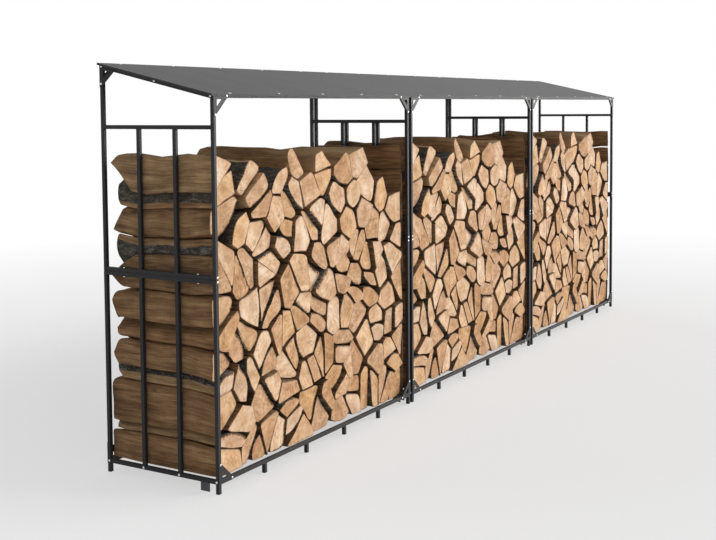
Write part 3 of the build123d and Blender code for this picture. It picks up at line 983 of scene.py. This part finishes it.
def add_log(shape, layers, prism, pile, draw):
    """Builds one detailed log inside the room of its CAD prism."""
    log = Log(prism, pile, draw)
    grain_layer, log_layer, rim_layer, bark_layer = layers
    count = len(log.points)

    def add_vert(place, rim, bark, tone=log.tone):
        """New point with its attributes."""
        point = shape.verts.new(settled(place, pile))
        point[grain_layer] = (place.x - log.pith.x, place.y, place.z - log.pith.y)
        point[log_layer] = (tone, log.warmth, log.seed)
        # A thin slab's ends take the full dark rim and bark colour, as painted shade
        point[rim_layer] = 1.0 if log.slab else rim
        point[bark_layer] = 1.0 if log.slab and rim > 0 else bark
        return point

    def add_face(corners, material, flip):
        """New smooth face."""
        face = shape.faces.new(list(reversed(corners)) if flip else corners)
        face.material_index = material
        face.smooth = True

    def add_cap(loop, flip):
        """Closes an end with inner rings and a middle point."""
        rim_y = sum(v.co.y for v in loop) / count
        inner_loops = [loop]
        places = [v.co.copy() for v in loop]
        for scale, rim in CAP_RINGS:
            ring = []
            for number, outer in enumerate(places):
                target = log.middle + (Vector((outer.x, outer.z)) - log.middle) * scale
                rough = log.waver(target, 0, *CAP_SCALE) * CAP_ROUGHNESS
                y = outer.y * scale + rim_y * (1 - scale) + (rough if flip else -rough)
                ring.append(add_vert(Vector((target.x, y, target.y)), rim, log.barks[number]))
            inner_loops.append(ring)
        centre = add_vert(Vector((log.middle.x, rim_y, log.middle.y)), 0.0, 0.0)
        for outside, inside in zip(inner_loops, inner_loops[1:]):
            for number in range(count):
                after = (number + 1) % count
                corners = [outside[number], outside[after], inside[after], inside[number]]
                add_face(corners, 0, flip)
        last = inner_loops[-1]
        for number in range(count):
            add_face([last[number], last[(number + 1) % count], centre], 0, flip)

    loops = []
    for number, share in enumerate(STATIONS):
        end = number in (0, len(STATIONS) - 1)
        places = log.section(share, RIM if end else 0.0)
        rim, tone = (1.0, log.tone) if end else (0.0, log.side_tone_and_painted_light)
        loops.append([add_vert(p, rim, bark, tone) for p, bark in zip(places, log.barks)])
    for first, second in zip(loops, loops[1:]):
        for number in range(count):
            after = (number + 1) % count
            add_face([first[after], first[number], second[number], second[after]], 1, False)
    add_cap(loops[0], False)
    add_cap(loops[-1], True)


def log_pile(bay, materials):
    """The detailed logs of one bay, in place of its CAD node."""
    node = f"bay_{bay}_logs"
    draw = random.Random(LOG_SEED)
    shape = bmesh.new()
    layers = (
        shape.verts.layers.float_vector.new("grain"),
        shape.verts.layers.float_vector.new("log"),
        shape.verts.layers.float.new("rim"),
        shape.verts.layers.float.new("bark"),
    )
    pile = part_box(node)
    for prism in prisms(node):
        add_log(shape, layers, prism, pile, draw)
    piece = add_piece(shape, f"bay_{bay}_split_logs", materials, "split_wood", node)
    piece.data.set_sharp_from_angle(angle=LOG_SHARP_ANGLE)


def background_rays(tree):
    """1 for the rays that show the white background: camera, glossy and transmission rays."""
    path = tree.nodes.new("ShaderNodeLightPath")
    shown = path.outputs["Is Camera Ray"]
    for name in ("Is Glossy Ray", "Is Transmission Ray"):
        larger = tree.nodes.new("ShaderNodeMath")
        larger.operation = "MAXIMUM"
        tree.links.new(shown, larger.inputs[0])
        tree.links.new(path.outputs[name], larger.inputs[1])
        shown = larger.outputs[0]
    return shown


def floor_material():
    """Pale studio floor that fades into the white background far from the object."""
    shader = Shader("studio_floor")
    place = object_place(shader)
    distance = shader.add("VectorMath", {0: place}, operation="LENGTH").outputs["Value"]
    far = shader.level(distance, *FLOOR_FADE, 0.55, 1.0)
    shader.finish(Base_Color=srgb(243, 243, 242), Roughness=0.9)
    white = shader.add("Emission", {"Color": WHITE, "Strength": 1.0})
    factor = shader.times(far, background_rays(shader.tree))
    mixed = shader.add("MixShader", {0: factor, 1: shader.surface, 2: white})
    shader.put(shader.tree.nodes["Material Output"].inputs["Surface"], mixed)
    return shader.material


def studio_world():
    """Soft light from all round, and white where the background shows."""
    world = bpy.data.worlds.new("studio")
    bpy.context.scene.world = world
    world.use_nodes = True
    tree = world.node_tree
    background = tree.nodes["Background"]
    background.inputs["Color"].default_value = WORLD_COLOUR
    background.inputs["Strength"].default_value = WORLD_STRENGTH
    white = tree.nodes.new("ShaderNodeBackground")
    white.inputs["Color"].default_value = WHITE
    white.inputs["Strength"].default_value = 1.0
    mixer = tree.nodes.new("ShaderNodeMixShader")
    tree.links.new(background_rays(tree), mixer.inputs[0])
    tree.links.new(background.outputs[0], mixer.inputs[1])
    tree.links.new(white.outputs[0], mixer.inputs[2])
    tree.links.new(mixer.outputs[0], tree.nodes["World Output"].inputs["Surface"])


def stage():
    """Floor, world and lamps."""
    bpy.ops.mesh.primitive_plane_add(size=FLOOR_SIZE)
    floor = bpy.context.object
    floor.name = "floor"
    floor.data.materials.append(floor_material())
    studio_world()
    add_sun("key", **KEY_SUN)
    add_sun("sheen", **SHEEN_SUN)
    roof_light = bpy.data.lights.new("roof_light", "AREA")
    roof_light.shape = "SQUARE"
    roof_light.size = ROOF_LIGHT_SIZE
    roof_light.energy = ROOF_LIGHT_POWER
    aim_lamp(roof_light, ROOF_LIGHT_PLACE, ROOF_LIGHT_TARGET)


def add_sun(name, energy, spread, place):
    """Even light from one side, its spread in degrees."""
    lamp = bpy.data.lights.new(name, "SUN")
    lamp.energy = energy
    lamp.angle = math.radians(spread)
    lamp.color = SUN_COLOUR
    aim_lamp(lamp, place, (0.0, 0.0, 0.0))


def aim_lamp(lamp, place, target):
    """Puts a lamp in the scene, aimed at a point."""
    piece = bpy.data.objects.new(lamp.name, lamp)
    bpy.context.scene.collection.objects.link(piece)
    piece.location = place
    piece.rotation_euler = (Vector(target) - Vector(place)).to_track_quat("-Z", "Y").to_euler()


def camera():
    """Camera at the photograph's place and angle."""
    yaw = math.radians(CAMERA_YAW)
    pitch = math.radians(CAMERA_PITCH)
    roll = math.radians(CAMERA_ROLL)
    flat = math.cos(pitch)
    ahead = Vector((math.sin(yaw) * flat, math.cos(yaw) * flat, math.sin(pitch)))
    level = Vector((math.cos(yaw), -math.sin(yaw), 0))
    upright = level.cross(ahead)
    right = level * math.cos(roll) + upright * math.sin(roll)
    up = upright * math.cos(roll) - level * math.sin(roll)
    data = bpy.data.cameras.new("camera")
    data.sensor_width = CAMERA_SENSOR
    data.lens = CAMERA_LENS
    data.shift_x, data.shift_y = CAMERA_SHIFT
    data.clip_end = CAMERA_REACH
    piece = bpy.data.objects.new("camera", data)
    bpy.context.scene.collection.objects.link(piece)
    turn = Matrix((right, up, -ahead)).transposed().to_4x4()
    piece.matrix_world = Matrix.Translation(CAMERA_PLACE) @ turn
    bpy.context.scene.camera = piece


paint = frame_paint()
roof = roof_paint()
plastic = foot_plastic()
metal = zinc()
lug_metal = bare_lug()
wood = (wood_ends(), wood_sides())

for bay in BAYS:
    for part in TUBE_NODES:
        node = f"bay_{bay}_{part}"
        tubes = rounded_copy(node, f"{node}_tubes", TUBE_EDGE, paint, "frame_paint")
        if part.endswith("lower_frame"):
            show_lug(tubes, bay, lug_metal)
    for part, name, radius, material, slot in (
        ("corner_plates", "pressed_plates", PLATE_EDGE, paint, "frame_paint"),
        ("roof_sheet", "folded_roof", ROOF_EDGE, roof, "roof_paint"),
        ("foot_caps", "moulded_caps", CAP_EDGE, plastic, "foot_plastic"),
    ):
        rounded_copy(f"bay_{bay}_{part}", f"bay_{bay}_{name}", radius, material, slot)
    fasteners(bay, metal)
    weld_beads(bay, paint)
    log_pile(bay, wood)

stage()
camera()
bpy.context.scene.view_settings.view_transform = "Standard"
